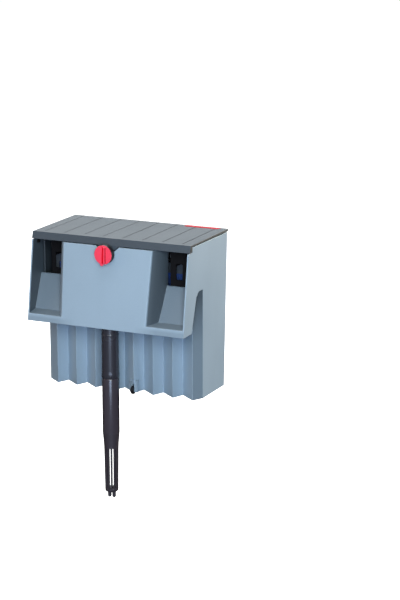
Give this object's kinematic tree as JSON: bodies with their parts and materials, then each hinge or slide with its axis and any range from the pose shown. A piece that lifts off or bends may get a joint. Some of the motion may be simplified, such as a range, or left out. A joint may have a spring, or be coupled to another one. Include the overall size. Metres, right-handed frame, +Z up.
{
  "type": "hang-on-back aquarium filter",
  "caption": "Hang-on-back aquarium filter: pleated grey tank with outlet chutes, grooved lid, red flow knob, telescopic intake tube with strainer, pump and filter cartridges.",
  "frame": {"origin": "middle of the flat seat that rests on the aquarium glass rim", "axes": "+X to the filter's right as its front faces -Y, -Y into the aquarium, +Z up"},
  "size_m": [0.1876, 0.1128, 0.2878],
  "materials": {
    "housing_grey": "blue-grey moulded plastic, satin",
    "lid_grey": "fine textured plastic",
    "badge_red": "plain red inlay",
    "knob_red": "satin red plastic",
    "black_plastic": "moulded black plastic",
    "sleeve_black": "satin black tube",
    "tube_black": "polished black tube",
    "strainer_black": "matte black plastic",
    "white_plastic": "impeller plastic",
    "ferrite": "sintered magnet",
    "lamination_steel": "stacked steel sheets",
    "copper_wire": "enamelled copper winding",
    "ceramic": "polished ceramic",
    "rubber_black": "soft black rubber",
    "frame_grey": "grey cartridge plastic",
    "foam_blue": "open-cell blue filter foam",
    "carbon_fleece": "black carbon-loaded fleece",
    "steel_pin": "stainless pin"
  },
  "bodies": {
    "tank": {"housing": "housing_grey", "lid_catches": "black_plastic", "valve_bonnet": "black_plastic", "valve_o_ring": "rubber_black", "intake_arch": "black_plastic", "sleeve_seal": "rubber_black", "intake_sleeve": "sleeve_black", "motor_case": "black_plastic", "motor_base": "black_plastic", "stator_core": "lamination_steel", "stator_coils": "copper_wire", "pump_feet": "rubber_black", "pump_cover": "black_plastic", "pump_gasket": "rubber_black", "inlet_seal": "rubber_black", "impeller_shaft": "ceramic", "shaft_bushings": "rubber_black", "cartridge_frame_left": "frame_grey", "cartridge_frame_right": "frame_grey", "filter_pad_left": "foam_blue", "filter_pad_right": "foam_blue", "carbon_pad_left": "carbon_fleece", "carbon_pad_right": "carbon_fleece", "cartridge_retainer_left": "black_plastic", "cartridge_retainer_right": "black_plastic", "levelling_pin": "steel_pin", "cable_grommet": "rubber_black"},
    "lid_cover": {"lid": "lid_grey", "lid_badge": "badge_red"},
    "regulator": {"knob_cap": "knob_red", "knob_body": "black_plastic", "valve_drum": "black_plastic"},
    "telescope": {"intake_tube": "tube_black", "intake_strainer": "strainer_black"},
    "rotor": {"impeller": "white_plastic", "rotor_magnet": "ferrite"},
    "leveller": {"levelling_cam": "black_plastic"}
  },
  "joints": [
    {"name": "lid_lift", "type": "slide", "parent": "tank", "child": "lid_cover", "axis": [0, 0, 1], "range_m": [0, 0.09]},
    {"name": "knob_turn", "type": "hinge", "parent": "tank", "child": "regulator", "pos_m": [-0.0018, -0.018, 0.0524], "axis": [0, 1, 0], "range_deg": [-60, 60]},
    {"name": "tube_slide", "type": "slide", "parent": "tank", "child": "telescope", "axis": [0, 0, 1], "range_m": [-0.04, 0]},
    {"name": "rotor_spin", "type": "hinge", "parent": "tank", "child": "rotor", "pos_m": [0, 0.0404, -0.08], "axis": [0, 0, 1], "continuous": true},
    {"name": "cam_turn", "type": "hinge", "parent": "tank", "child": "leveller", "pos_m": [0.0153, 0.0072, -0.1008], "axis": [1, 0, 0], "range_deg": [0, 180]}
  ]
}
